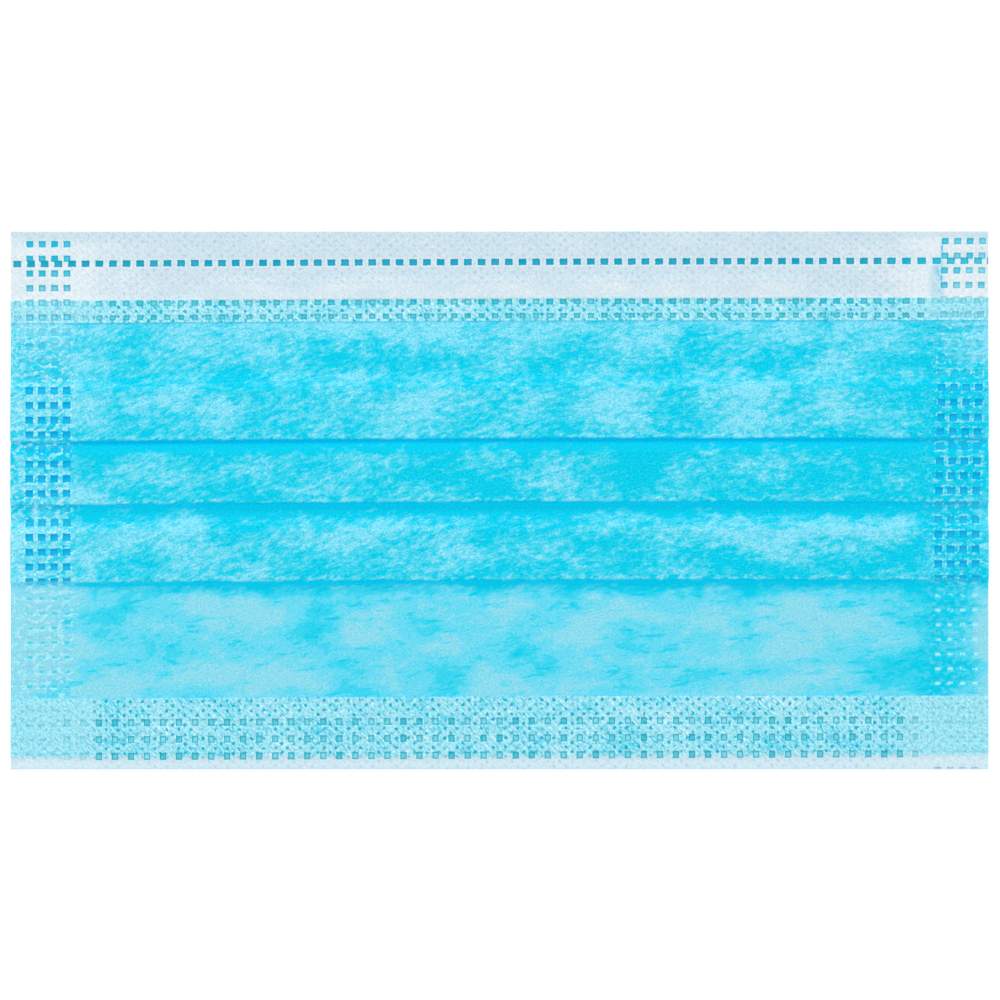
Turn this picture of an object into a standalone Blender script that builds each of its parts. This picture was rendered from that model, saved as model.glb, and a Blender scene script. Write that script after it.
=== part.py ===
"""A pleated medical face mask, lying flat with its blue outer side up.

Metres, +Z up. The nose edge is at +Y and the chin edge at -Y. The origin is at the middle of the
mask's outline, at the height of the surface that it lies on.

The cloth is one sheet of two plies, blue outside and white inside, folded into three knife pleats.
The white ply wraps round both hems and comes up the front as a flap. A place on the cloth is given
by "across", its x, and by "down", its distance below the nose edge.
"""

import math
from collections import namedtuple

import bmesh
import bpy
import numpy as np

# The folded mask.
WIDTH = 0.175
HEIGHT = 0.0963

# The cloth: each ply, the air between the two, and the air between the leaves of a pleat, which the
# side welds press down and which the middle of the mask lets spring up.
PLY = 0.0004
PLY_GAP = 0.0002
LEAF_GAP_WELD = 0.0002
LEAF_GAP_MIDDLE = 0.0004
WELD_BAND = 0.0120
PLEAT_DEPTH = 0.0090

# The white flaps that the inner ply turns over the front, and the outer ply's edges under them.
TOP_FLAP = 0.0162
BOTTOM_FLAP = 0.0129
OUTER_TOP = 0.0123
OUTER_BOTTOM = 0.0023

# The nose wire, in the channel between the top fold and the outer ply's edge.
WIRE_LENGTH = 0.107
WIRE_WIDTH = 0.0026
WIRE_THICKNESS = 0.0008
WIRE_OFF_CENTRE = 0.0012
WIRE_CLEARANCE = 0.0004

# How steeply cloth climbs over what lies under it, how finely it is divided, and how near to each
# other two rows may lie.
CLIMB = 0.45
ROW_STEP = 0.0030
ROW_CLEARANCE = 0.0003
COLUMN_STEP = 0.0160
FOLD_SEGMENTS = 6

# From the nose edge down: a pleat's fold edge as a share of HEIGHT, and how far its hidden leaves
# reach in behind that edge as a share of PLEAT_DEPTH.
Pleat = namedtuple("Pleat", "edge depth")
PLEATS = (
    Pleat(edge=0.388, depth=1.00),
    Pleat(edge=0.506, depth=1.00),
    Pleat(edge=0.650, depth=1.00),
)

# The cloth's whole wall, how far each ply lies from its middle, and how far the middle line of a
# hem's or a pleat's last leaf stops short of the outside of the fold.
CLOTH = 2 * PLY + PLY_GAP
PLY_SHIFT = (PLY + PLY_GAP) / 2
HEM_REACH = PLY_SHIFT + PLY / 2
FOLD_REACH = CLOTH + LEAF_GAP_MIDDLE / 2

# The nose wire's middle, and the height of a flap's middle over each thing that it can lie on.
WIRE_DOWN = OUTER_TOP - WIRE_CLEARANCE - WIRE_WIDTH / 2
ON_BACK = 1.5 * PLY + PLY_GAP
ON_OUTER = ON_BACK + PLY + PLY_GAP
ON_WIRE = ON_BACK + WIRE_THICKNESS + PLY_GAP

# A leaf is a stretch of cloth between two folds. A panel shows its front, and a return leaf is
# hidden in a pleat with its front down.
Leaf = namedtuple("Leaf", "start end is_panel")


def leaves_of_the_cloth():
    """The leaves from the nose edge to the chin edge, in the order that the cloth runs."""
    leaves = []
    start = HEM_REACH
    for pleat in PLEATS:
        edge = pleat.edge * HEIGHT
        behind = edge - pleat.depth * PLEAT_DEPTH
        leaves.append(Leaf(start, edge, True))
        leaves.append(Leaf(edge, behind, False))
        start = behind
    leaves.append(Leaf(start, HEIGHT - HEM_REACH, True))
    return leaves


LEAVES = leaves_of_the_cloth()


def rows_with_marks(low, high, step, marks):
    """Even rows from low to high, and rows at the marks in place of the even ones close to them."""
    marks = np.unique(np.round([low, high, *marks], 7))
    even = np.linspace(low, high, 1 + math.ceil((high - low) / step))
    distance = np.abs(even[:, None] - marks[None, :]).min(axis=1)
    return np.sort(np.concatenate([even[distance > ROW_CLEARANCE], marks]))


# Distances down the mask at which every leaf's height is worked out.
ROWS = rows_with_marks(0, HEIGHT, ROW_STEP, [end for leaf in LEAVES for end in (leaf.start, leaf.end)])


def draped(needed, rows):
    """The lowest heights that clear the needed ones and climb no steeper than CLIMB."""
    distance = np.abs(rows[:, None] - rows[None, :])
    return (needed[None, :] - CLIMB * distance).max(axis=1)


def leaf_gap(across):
    """The air between a pleat's leaves: least in the side welds, most in the middle."""
    free = WIDTH / 2 - WELD_BAND
    share = max(0.0, 1 - abs(across) / free)
    return LEAF_GAP_WELD + (LEAF_GAP_MIDDLE - LEAF_GAP_WELD) * math.sin(share * math.pi / 2)


def leaf_heights(across):
    """For each leaf, the height of the cloth's middle above where it lies flat, at every row."""
    spacing = CLOTH + leaf_gap(across)
    below = np.full(len(ROWS), -spacing)
    heights = []
    for leaf in reversed(LEAVES):
        low, high = sorted((leaf.start, leaf.end))
        covered = (ROWS > low - ROW_CLEARANCE / 2) & (ROWS < high + ROW_CLEARANCE / 2)
        level = draped(np.where(covered, below + spacing, 0.0), ROWS)
        below = np.where(covered, level, below)
        heights.append(level)
    return heights[::-1]


def fold(down, first, last, reach_sign):
    """A half circle of cloth between two heights, left and entered along the leaves."""
    middle = (first + last) / 2
    radius = (first - last) / 2
    points = []
    for step in range(1, FOLD_SEGMENTS):
        turn = math.pi * step / FOLD_SEGMENTS
        points.append((down + reach_sign * abs(radius) * math.sin(turn), middle + radius * math.cos(turn)))
    return points


def rows_between(first, last):
    """The ends of a stretch of cloth and the rows between them, in the order that the cloth runs."""
    low, high = sorted((first, last))
    inside = ROWS[(ROWS > low + ROW_CLEARANCE) & (ROWS < high - ROW_CLEARANCE)]
    if first > last:
        inside = inside[::-1]
    return [first, *inside, last]


def pleated_section(across, shift, first_down, last_down):
    """A ply's section at one x, from first_down to last_down, shift above the cloth's middle."""
    points = []
    for number, (leaf, heights) in enumerate(zip(LEAVES, leaf_heights(across))):
        onward = 1 if leaf.is_panel else -1
        first = first_down if number == 0 else leaf.start + onward * FOLD_REACH
        last = last_down if number == len(LEAVES) - 1 else leaf.end - onward * FOLD_REACH
        middle = CLOTH / 2 + onward * shift
        stretch = [(down, middle + np.interp(down, ROWS, heights)) for down in rows_between(first, last)]
        if points:
            points += fold(first, points[-1][1], stretch[0][1], -onward)
        points += stretch
    return points


def flap_section(reach, marks, least_height):
    """A white flap from its hem to its free edge: distances in from the hem, and heights."""
    rows = rows_with_marks(HEM_REACH, reach, ROW_STEP / 2, marks)
    return list(zip(rows, draped(least_height(rows), rows)))


def over_outer(rows, outer_edge):
    """A flap's least height where it lies on the back ply, and where the outer ply is between."""
    return np.where(rows > outer_edge - WIRE_CLEARANCE / 2, ON_OUTER, ON_BACK)


def over_wire(rows, across):
    """A flap's least height because of the nose wire, with a ramp of cloth beyond each end of it."""
    beyond_end = max(0.0, abs(across - WIRE_OFF_CENTRE) - WIRE_LENGTH / 2)
    beside = np.abs(rows - WIRE_DOWN) < WIRE_WIDTH / 2 + WIRE_CLEARANCE / 2
    return np.where(beside, ON_WIRE - CLIMB * beyond_end, 0.0)


def outer_section(across):
    return pleated_section(across, PLY_SHIFT, OUTER_TOP, HEIGHT - OUTER_BOTTOM)


def inner_section(across):
    """The white ply's section: top flap, top hem, pleated back, bottom hem, bottom flap."""

    def top_height(rows):
        return np.maximum(over_outer(rows, OUTER_TOP), over_wire(rows, across))

    def bottom_height(rows):
        return over_outer(rows, OUTER_BOTTOM)

    wire_sides = [WIRE_DOWN - WIRE_WIDTH / 2, WIRE_DOWN + WIRE_WIDTH / 2]
    top = flap_section(TOP_FLAP, [OUTER_TOP, *wire_sides], top_height)[::-1]
    back = pleated_section(across, -PLY_SHIFT, HEM_REACH, HEIGHT - HEM_REACH)
    bottom = flap_section(BOTTOM_FLAP, [OUTER_BOTTOM], bottom_height)
    bottom = [(HEIGHT - up, height) for up, height in bottom]
    top_hem = fold(HEM_REACH, top[-1][1], back[0][1], -1)
    bottom_hem = fold(HEIGHT - HEM_REACH, back[-1][1], bottom[0][1], 1)
    return top + top_hem + back + bottom_hem + bottom


def columns_of_the_cloth():
    """The x of each column, with a column where the welds end and at each end of the nose wire."""
    ramp = (ON_WIRE - ON_BACK) / CLIMB
    half = WIRE_LENGTH / 2
    stops = [-WIDTH / 2, WELD_BAND - WIDTH / 2, WIDTH / 2 - WELD_BAND, WIDTH / 2]
    stops += [WIRE_OFF_CENTRE + side * (half + out) for side in (-1, 1) for out in (0, ramp)]
    stops = sorted(stops)
    columns = [stops[0]]
    for low, high in zip(stops, stops[1:]):
        steps = math.ceil((high - low) / COLUMN_STEP)
        columns += [low + (high - low) * step / steps for step in range(1, steps + 1)]
    return columns


def material(name, colour, roughness, metallic=0.0):
    made = bpy.data.materials.new(name)
    made.use_nodes = True
    shader = made.node_tree.nodes["Principled BSDF"]
    shader.inputs["Base Color"].default_value = (*colour, 1.0)
    shader.inputs["Roughness"].default_value = roughness
    shader.inputs["Metallic"].default_value = metallic
    return made


def ply(name, section, collection, finish):
    """A ply: a flat grid with each vertex placed on the folded section at its column, then thickened."""
    columns = columns_of_the_cloth()
    sections = [section(across) for across in columns]
    across_steps = len(columns) - 1
    section_steps = len(sections[0]) - 1
    mesh = bpy.data.meshes.new(name)
    grid = bmesh.new()
    bmesh.ops.create_grid(grid, x_segments=across_steps, y_segments=section_steps, size=1)
    for vertex in grid.verts:
        column = round((vertex.co.x + 1) / 2 * across_steps)
        row = round((1 - vertex.co.y) / 2 * section_steps)
        down, height = sections[column][row]
        vertex.co = (columns[column], HEIGHT / 2 - down, height)
    grid.to_mesh(mesh)
    grid.free()
    mesh.materials.append(finish)
    mesh.shade_smooth()
    sheet = bpy.data.objects.new(name, mesh)
    collection.objects.link(sheet)
    wall = sheet.modifiers.new("Ply thickness", "SOLIDIFY")
    wall.thickness = PLY
    wall.offset = 0
    wall.use_even_offset = True
    return sheet


def nose_wire(collection, finish):
    """The shapeable strip, lying on the back ply under the top flap."""
    name = "nose_wire"
    mesh = bpy.data.meshes.new(name)
    strip = bmesh.new()
    bmesh.ops.create_cube(strip, size=1)
    bmesh.ops.scale(strip, vec=(WIRE_LENGTH, WIRE_WIDTH, WIRE_THICKNESS), verts=strip.verts)
    strip.to_mesh(mesh)
    strip.free()
    mesh.materials.append(finish)
    mesh.shade_smooth()
    wire = bpy.data.objects.new(name, mesh)
    wire.location = (WIRE_OFF_CENTRE, HEIGHT / 2 - WIRE_DOWN, PLY + PLY_GAP + WIRE_THICKNESS / 2)
    collection.objects.link(wire)
    rounding = wire.modifiers.new("Rounded edges", "BEVEL")
    rounding.width = WIRE_THICKNESS * 0.3
    rounding.segments = 3
    return wire


def clear_the_scene():
    for obj in list(bpy.data.objects):
        bpy.data.objects.remove(obj, do_unlink=True)


def build():
    clear_the_scene()
    collection = bpy.data.collections.new("medical_face_mask")
    bpy.context.scene.collection.children.link(collection)
    blue = material("blue_nonwoven", (0.035, 0.59, 0.80), 0.85)
    white = material("white_nonwoven", (0.74, 0.80, 0.84), 0.85)
    coated_wire = material("coated_nose_wire", (0.80, 0.80, 0.79), 0.45)
    ply("outer_layer", outer_section, collection, blue)
    ply("inner_layer", inner_section, collection, white)
    nose_wire(collection, coated_wire)


build()
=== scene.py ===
# %% [markdown]
# # A pleated medical face mask
#
# The real mask is two sheets of spun cloth, blue outside and white inside. They are laid together,
# folded into three pleats, wrapped with white at both hems, and pressed shut by rows of small
# square welds. Nothing is sewn. This lesson lays the mask flat on a white table, blue side up, and
# looks straight down at it.
#
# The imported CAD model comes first. It is a fixed frame: it gives the place and the size of every
# piece, in metres, with the nose edge at +Y and the table at z = 0.

# %% Load the CAD frame
import math
from collections import namedtuple

import bpy
import numpy as np
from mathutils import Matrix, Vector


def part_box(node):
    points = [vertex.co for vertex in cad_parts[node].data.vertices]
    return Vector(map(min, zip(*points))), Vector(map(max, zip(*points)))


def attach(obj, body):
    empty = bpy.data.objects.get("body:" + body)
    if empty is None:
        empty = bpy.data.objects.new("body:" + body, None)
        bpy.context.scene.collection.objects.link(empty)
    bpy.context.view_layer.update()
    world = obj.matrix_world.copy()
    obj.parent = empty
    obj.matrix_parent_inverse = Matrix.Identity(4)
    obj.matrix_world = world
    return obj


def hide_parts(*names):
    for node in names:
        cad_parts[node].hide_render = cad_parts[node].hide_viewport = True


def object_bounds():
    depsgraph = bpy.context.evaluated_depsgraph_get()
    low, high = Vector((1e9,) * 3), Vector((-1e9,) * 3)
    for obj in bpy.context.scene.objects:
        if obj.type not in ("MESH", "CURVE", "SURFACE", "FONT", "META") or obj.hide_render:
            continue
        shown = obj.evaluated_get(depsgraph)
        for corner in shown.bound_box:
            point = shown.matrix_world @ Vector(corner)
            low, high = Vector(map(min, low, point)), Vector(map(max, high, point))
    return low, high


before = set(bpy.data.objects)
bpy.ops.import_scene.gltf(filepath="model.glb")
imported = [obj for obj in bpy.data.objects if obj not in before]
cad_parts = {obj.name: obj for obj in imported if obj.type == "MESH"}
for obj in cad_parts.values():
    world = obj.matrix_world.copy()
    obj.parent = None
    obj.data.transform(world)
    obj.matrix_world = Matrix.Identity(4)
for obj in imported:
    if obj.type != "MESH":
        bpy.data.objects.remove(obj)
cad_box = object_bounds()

print("CAD nodes:", sorted(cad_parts))
print("CAD box:", [round(high - low, 4) for low, high in zip(*cad_box)])

# %% [markdown]
# ## Sizes
#
# The sizes are in millimetres, because a ply of this cloth is only a fifth of one thick. A place on
# the mask is given by `across`, its distance right of the middle, and by `down`, its distance below
# the nose edge. The outline comes from the CAD model, and the cloth is as thin as the real one.

# %% The cloth's sizes
MM = 0.001
WIDTH, HEIGHT = (1000 * (cad_box[1][axis] - cad_box[0][axis]) for axis in (0, 1))
PLY = 0.18
PLY_GAP = 0.10
CLOTH = 2 * PLY + PLY_GAP
LEAF_GAP_WELD = 0.03
LEAF_GAP_MIDDLE = 0.18

PLEAT_DEPTH = 9.0
PLEAT_EDGES = (37.55, 48.95, 62.85)
TOP_FLAP = 16.2
BOTTOM_FLAP = 12.9
OUTER_TOP = 12.3
OUTER_BOTTOM = 2.3
CLIMB = 0.45
FOLD_STEPS = 5

wire_low, wire_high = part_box("nose_wire")
WIRE_ENDS = 1000 * wire_low[0], 1000 * wire_high[0]
WIRE_DOWN = HEIGHT / 2 - 500 * (wire_low[1] + wire_high[1])
WIRE_WIDTH = 1000 * (wire_high[1] - wire_low[1])
WIRE_REACH = WIRE_WIDTH / 2 + 0.2
WIRE_THICKNESS = 0.40
WIRE_TOP = PLY + 0.06 + WIRE_THICKNESS
print(f"mask {WIDTH:.1f} x {HEIGHT:.1f} mm, cloth {CLOTH:.2f} mm thick")
print(f"wire {WIRE_DOWN:.1f} mm below the nose edge, top at {WIRE_TOP:.2f} mm")

# %% [markdown]
# ## The welds
#
# On the real machine the cloth runs between two rollers, and square studs on one of them press and
# melt it through all its layers. Each group of studs is a grid, so one short row of numbers
# describes it: the first weld's place, the steps between welds, and how many there are each way.
# The same rows serve twice. The meshes read them to press the cloth down, and the materials read
# them to colour the welds, so that the colour always sits in its own dent.

# %% The grids of welds
Welds = namedtuple("Welds", "across down across_step down_step columns rows wide high")
WELDS = {
    "left_side": Welds(-84.08, 2.05, 2.219, 2.625, 4, 36, 1.40, 1.30),
    "right_side": Welds(78.80, 2.05, 2.220, 2.625, 4, 37, 1.40, 1.30),
    "nose_row": Welds(-86.31, 5.58, 2.444, 9.00, 72, 1, 1.42, 1.18),
    "flap_rows": Welds(-86.31, 12.78, 2.444, 2.54, 72, 2, 1.34, 1.16),
    "chin_rows": Welds(-77.42, 87.77, 2.8685, 3.00, 54, 3, 1.14, 1.24),
}
WALL = 0.18
STAIN = 0.10


def nearest_weld(place, first, step, count):
    """Distance to the nearest weld's middle in one direction."""
    number = np.clip(np.round((place - first) / step), 0, count - 1)
    return np.abs(place - first - number * step)


def dent(distance, size):
    """1 inside a weld, 0 outside, with a narrow sloping wall between.

    The dent is smaller than the colour by STAIN all round, as the stud heats a little more than it
    presses.
    """
    return np.clip((size / 2 - STAIN + WALL / 2 - distance) / WALL, 0, 1)


def weld_lines(first, step, count, size):
    """Where a grid's mesh lines go: both sides of both walls, and one between two welds."""
    middles = first + step * np.arange(count)
    half = size / 2 - STAIN
    offsets = (-half - WALL / 2, -half + WALL / 2, half - WALL / 2, half + WALL / 2, step / 2)
    return np.concatenate([middles + offset for offset in offsets])


print("welds:", sum(group.columns * group.rows for group in WELDS.values()))

# %% [markdown]
# ## Mesh lines
#
# A weld's wall is only a fifth of a millimetre wide, so an even mesh fine enough to show it would
# need millions of faces. Here the mesh lines run where something happens: along the sides of each
# weld, and at each fold and edge. All leaves of cloth share the same rows, so that layers lie
# nearly parallel where they are pressed down together. In the side welds, which press a whole stack
# of pleats, neighbouring layers still cut a few hundredths of a millimetre into each other. The
# real layers are melted into one there.

# %% Rows and columns
LINES_APART = 0.11
ROW_STEP = 1.3
COLUMN_STEP = 1.75
SIDE_FIELD = 76.2


def thinned(lines, marks):
    """Sorted lines without those too near to another, with every mark kept."""
    marks = np.unique(np.round(marks, 4))
    lines = lines[np.abs(lines[:, None] - marks[None, :]).min(axis=1) > LINES_APART]
    kept = []
    for line in np.sort(lines):
        if marks[0] < line < marks[-1] and (not kept or line - kept[-1] > LINES_APART):
            kept.append(line)
    return np.sort(np.concatenate([kept, marks]))


HEM_REACH = CLOTH / 2
JOINTS = 19.21, 84.71
leaf_ends = [HEM_REACH, HEIGHT - HEM_REACH]
for edge in PLEAT_EDGES:
    leaf_ends += [edge, edge - PLEAT_DEPTH]
marks = [0, HEIGHT, TOP_FLAP, HEIGHT - BOTTOM_FLAP, OUTER_TOP, HEIGHT - OUTER_BOTTOM]
marks += [*leaf_ends, *JOINTS, WIRE_DOWN - WIRE_REACH, WIRE_DOWN + WIRE_REACH]
every_row = np.concatenate([
    weld_lines(group.down, group.down_step, group.rows, group.high) for group in WELDS.values()
] + [np.arange(0, HEIGHT, ROW_STEP)])
ROWS = thinned(every_row, marks)


def columns_for(group_names, step):
    """A piece's mesh columns: the lines of some groups of welds, filled up at an even step."""
    lines = [np.arange(-WIDTH / 2, WIDTH / 2, step)] if step else []
    for name in group_names:
        group = WELDS[name]
        lines.append(weld_lines(group.across, group.across_step, group.columns, group.wide))
    free = np.concatenate(lines)
    sides = np.concatenate([
        weld_lines(group.across, group.across_step, group.columns, group.wide)
        for group in (WELDS["left_side"], WELDS["right_side"])
    ])
    if not group_names:
        free = free[np.abs(free) <= SIDE_FIELD]
    return thinned(np.concatenate([sides, free]), [-WIDTH / 2, *WIRE_ENDS, WIDTH / 2])


PLAIN_COLUMNS = columns_for([], COLUMN_STEP)
TOP_COLUMNS = columns_for(["nose_row"], 0)
BOTTOM_COLUMNS = columns_for(["chin_rows"], 0)
print("rows", len(ROWS), "columns", len(PLAIN_COLUMNS), len(TOP_COLUMNS), len(BOTTOM_COLUMNS))

# %% [markdown]
# ## How folded cloth lies
#
# A knife pleat is three leaves of cloth on top of each other. To find how they lie, the leaves are
# put down from the lowest to the highest. Each one rests on those below it, and beside them it
# comes down no steeper than the stiff cloth allows. `draped` does that: it lets every needed height
# spread sideways as a slope. In the middle of the mask the leaves spring a little apart, and beyond
# `HELD_FROM` the side welds hold them together.

# %% The leaves and their heights
HELD_FROM = 76.0
Leaf = namedtuple("Leaf", "start end is_panel")
LEAVES = []
leaf_start = HEM_REACH
for edge in PLEAT_EDGES:
    LEAVES += [Leaf(leaf_start, edge, True), Leaf(edge, edge - PLEAT_DEPTH, False)]
    leaf_start = edge - PLEAT_DEPTH
LEAVES.append(Leaf(leaf_start, HEIGHT - HEM_REACH, True))


def draped(needed):
    """The lowest heights that clear the needed ones and climb no steeper than CLIMB."""
    heights = needed.copy()
    falls = CLIMB * np.diff(ROWS)
    for row in range(1, len(ROWS)):
        heights[:, row] = np.maximum(heights[:, row], heights[:, row - 1] - falls[row - 1])
    for row in range(len(ROWS) - 2, -1, -1):
        heights[:, row] = np.maximum(heights[:, row], heights[:, row + 1] - falls[row])
    return heights


def leaf_heights(columns):
    """Each leaf's height above where it lies flat, as (leaf, column, row)."""
    free = np.sin(np.clip(1 - np.abs(columns) / HELD_FROM, 0, 1) ** 0.6 * math.pi / 2)
    spacing = (CLOTH + LEAF_GAP_WELD + (LEAF_GAP_MIDDLE - LEAF_GAP_WELD) * free)[:, None]
    below = np.repeat(-spacing, len(ROWS), axis=1)
    heights = []
    for leaf in reversed(LEAVES):
        low, high = sorted((leaf.start, leaf.end))
        covered = (ROWS > low - LINES_APART / 2) & (ROWS < high + LINES_APART / 2)
        level = draped(np.where(covered, below + spacing, 0.0))
        below = np.where(covered, level, below)
        heights.append(level)
    return np.array(heights[::-1])


TOUCH = 0.01
ON_BACK = 1.5 * PLY + PLY_GAP
ON_OUTER = ON_BACK + PLY + PLY_GAP
ON_WIRE = WIRE_TOP + 0.05 + PLY / 2


def flap_heights(columns):
    """The height of the white flaps' middle, at both hems, as (column, row)."""
    over_outer = (ROWS > OUTER_TOP - TOUCH) & (ROWS < HEIGHT - OUTER_BOTTOM + TOUCH)
    needed = np.where(over_outer, ON_OUTER, ON_BACK) + np.zeros((len(columns), 1))
    beyond = np.maximum(WIRE_ENDS[0] - columns, columns - WIRE_ENDS[1]).clip(0)[:, None]
    over_wire = np.abs(ROWS - WIRE_DOWN) < WIRE_REACH + TOUCH
    return draped(np.maximum(needed, np.where(over_wire, ON_WIRE - CLIMB * beyond, 0)))


def stack_top(columns):
    """The top of all the cloth at each place, as (column, row)."""
    top = leaf_heights(columns).max(axis=0) + CLOTH
    flapped = (ROWS <= TOP_FLAP) | (ROWS >= HEIGHT - BOTTOM_FLAP)
    return np.where(flapped, np.maximum(top, flap_heights(columns) + PLY / 2), top)


print(f"thickest place {stack_top(PLAIN_COLUMNS).max():.2f} mm")

# %% [markdown]
# ## Sections
#
# A section is the line that a ply follows at one column, from its first edge to its last. It is
# made of stretches on the leaves and of half circles where the cloth folds over. The same function
# makes the blue ply and the white one: they run side by side, a little above and below the middle
# of the cloth, and trade places in every fold.

# %% Stretches, folds and whole sections
PLY_SHIFT = (PLY + PLY_GAP) / 2
FOLD_REACH = CLOTH + LEAF_GAP_MIDDLE / 2


def between(first, last):
    """The ends of a stretch and the rows between them, in the order that the cloth runs."""
    low, high = sorted((first, last))
    inside = ROWS[(ROWS > low + LINES_APART) & (ROWS < high - LINES_APART)]
    return np.array([first, *(inside[::-1] if first > last else inside), last])


def at(downs, heights):
    """Heights at some downs, read between the rows for every column at once."""
    right = np.clip(np.searchsorted(ROWS, downs), 1, len(ROWS) - 1)
    share = (downs - ROWS[right - 1]) / (ROWS[right] - ROWS[right - 1])
    return heights[:, right - 1] * (1 - share) + heights[:, right] * share


def stretch(first, last, heights):
    downs = between(first, last)
    return np.stack([np.tile(downs, (len(heights), 1)), at(downs, heights)])


def fold(down, first, last, side):
    """A half circle from one height to another, bulging to one side of a row."""
    turns = math.pi * np.arange(1, FOLD_STEPS) / FOLD_STEPS
    middle, radius = (first + last)[:, None] / 2, (first - last)[:, None] / 2
    return np.stack([down + side * abs(radius) * np.sin(turns), middle + radius * np.cos(turns)])


def folded(columns, shift, first_down, last_down):
    """A ply that follows the leaves, as (down or height, column, point)."""
    stack = leaf_heights(columns)
    parts = []
    for leaf, heights in zip(LEAVES, stack):
        onward = 1 if leaf.is_panel else -1
        first = leaf.start + onward * FOLD_REACH if parts else first_down
        last = leaf.end - onward * FOLD_REACH
        if leaf.is_panel and last_down <= max(last, leaf.end):
            last = last_down
        if last * onward <= first * onward:
            continue
        part = stretch(first, last, heights + CLOTH / 2 + onward * shift)
        if parts:
            parts.append(fold(first, parts[-1][1, :, -1], part[1, :, 0], -onward))
        parts.append(part)
        if last == last_down:
            break
    return np.concatenate(parts, axis=2)


def flat_leaf(columns, number, shift, first, last):
    """A stretch of one ply on one leaf."""
    return stretch(first, last, leaf_heights(columns)[number] + CLOTH / 2 + shift)


def joined(parts, down, side):
    """Two stretches with a hem's fold between them."""
    first, second = parts
    hem = fold(down, first[1, :, -1], second[1, :, 0], side)
    return np.concatenate([first, hem, second], axis=2)


blue_section = folded(PLAIN_COLUMNS, PLY_SHIFT, OUTER_TOP, HEIGHT - OUTER_BOTTOM)
back_section = folded(PLAIN_COLUMNS, -PLY_SHIFT, *JOINTS)
top_section = joined([
    stretch(TOP_FLAP, HEM_REACH, flap_heights(TOP_COLUMNS)),
    flat_leaf(TOP_COLUMNS, 0, -PLY_SHIFT, HEM_REACH, JOINTS[0]),
], HEM_REACH, -1)
bottom_section = joined([
    flat_leaf(BOTTOM_COLUMNS, -1, -PLY_SHIFT, JOINTS[1], HEIGHT - HEM_REACH),
    stretch(HEIGHT - HEM_REACH, HEIGHT - BOTTOM_FLAP, flap_heights(BOTTOM_COLUMNS)),
], HEIGHT - HEM_REACH, 1)
for title, section in (
    ("blue", blue_section), ("back", back_section), ("top", top_section), ("bottom", bottom_section)
):
    print(title, "section: columns and points", section.shape[1:])

# %% [markdown]
# ## Pressing, skew and waves
#
# A section is still perfect. Three things make it real. Each weld presses its cloth together to
# less than half its height. The machine fed the cloth a little askew, so every row climbs slightly
# to the right and bows, and the right edge leans. And cloth that has been packed and unpacked lies
# in shallow waves.

# %% What happens to every point of the cloth
SQUEEZE = 0.58
SQUEEZE_LEVEL = 0.42
SKEW = -0.0035
BOW = 0.35
LEAN_DOWN, LEAN = [0, 31, 45, 57], [1.06, 0.20, -0.20, -0.34]
LEAN_ACROSS = [70, 78, 86.2, 87.5]
WAVE, RIPPLE = 0.45, 0.05


def pressed(across, down, grooves=()):
    """How far the cloth is pressed together, from 0 to 1, with some groups as whole grooves."""
    most = np.zeros_like(down)
    for name, group in WELDS.items():
        along = dent(nearest_weld(down, group.down, group.down_step, group.rows), group.high)
        if name in grooves:
            over = 1.0
        else:
            away = nearest_weld(across, group.across, group.across_step, group.columns)
            over = dent(away, group.wide)
        most = np.maximum(most, along * over)
    return most


def halfway(down):
    """1 halfway down the mask, 0 at both hems."""
    return np.sin(math.pi * down / HEIGHT).clip(0)


def waved(across, down):
    """Shallow waves in the loose middle of the mask, never below the table."""
    loose = np.clip((84 - np.abs(across)) / 30, 0, 1) * halfway(down)
    long_wave = 1 + np.sin(across / 17 + 0.8 * np.sin(down / 21)) * np.cos(down / 25 + 0.6)
    short_wave = 1 + np.sin(across / 6.1 + down / 9.5) * np.sin(down / 7.3 - across / 15)
    return loose * (WAVE * long_wave + RIPPLE * short_wave)


def laid(across, down):
    """Where a place on the cloth lies on the table: skewed, bowed, and leaning at the right."""
    inner = np.clip(np.minimum(down, HEIGHT - down) / 1.4, 0, 1)
    middle = np.clip(1 - (across / 80) ** 2, 0, 1) * halfway(down)
    lean = np.interp(down, LEAN_DOWN, LEAN) * np.interp(across, LEAN_ACROSS, [0, 1, 1, 0])
    return across + lean, down + SKEW * across * inner - BOW * middle


# %% [markdown]
# ## From a section to a sheet
#
# Each ply starts as Blender's own grid with the right number of cells. Its vertices are then put on
# the section, and Solidify gives it its thickness. The vertex group makes the wall thinner in a
# weld, where the real fibres have melted together. The mesh also carries its own map: how far
# across, how far down and how far along the cloth each point is, in millimetres. The materials
# follow that map, so that fibres run round a fold with the cloth.

# %% Make a ply
WALL_LOST_IN_WELD = 0.55


def cloth_length(section):
    """Distance along the cloth from its first edge, at the middle column."""
    middle = section[:, section.shape[1] // 2, :]
    return np.concatenate([[0], np.cumsum(np.hypot(*np.diff(middle, axis=1)))])


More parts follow.
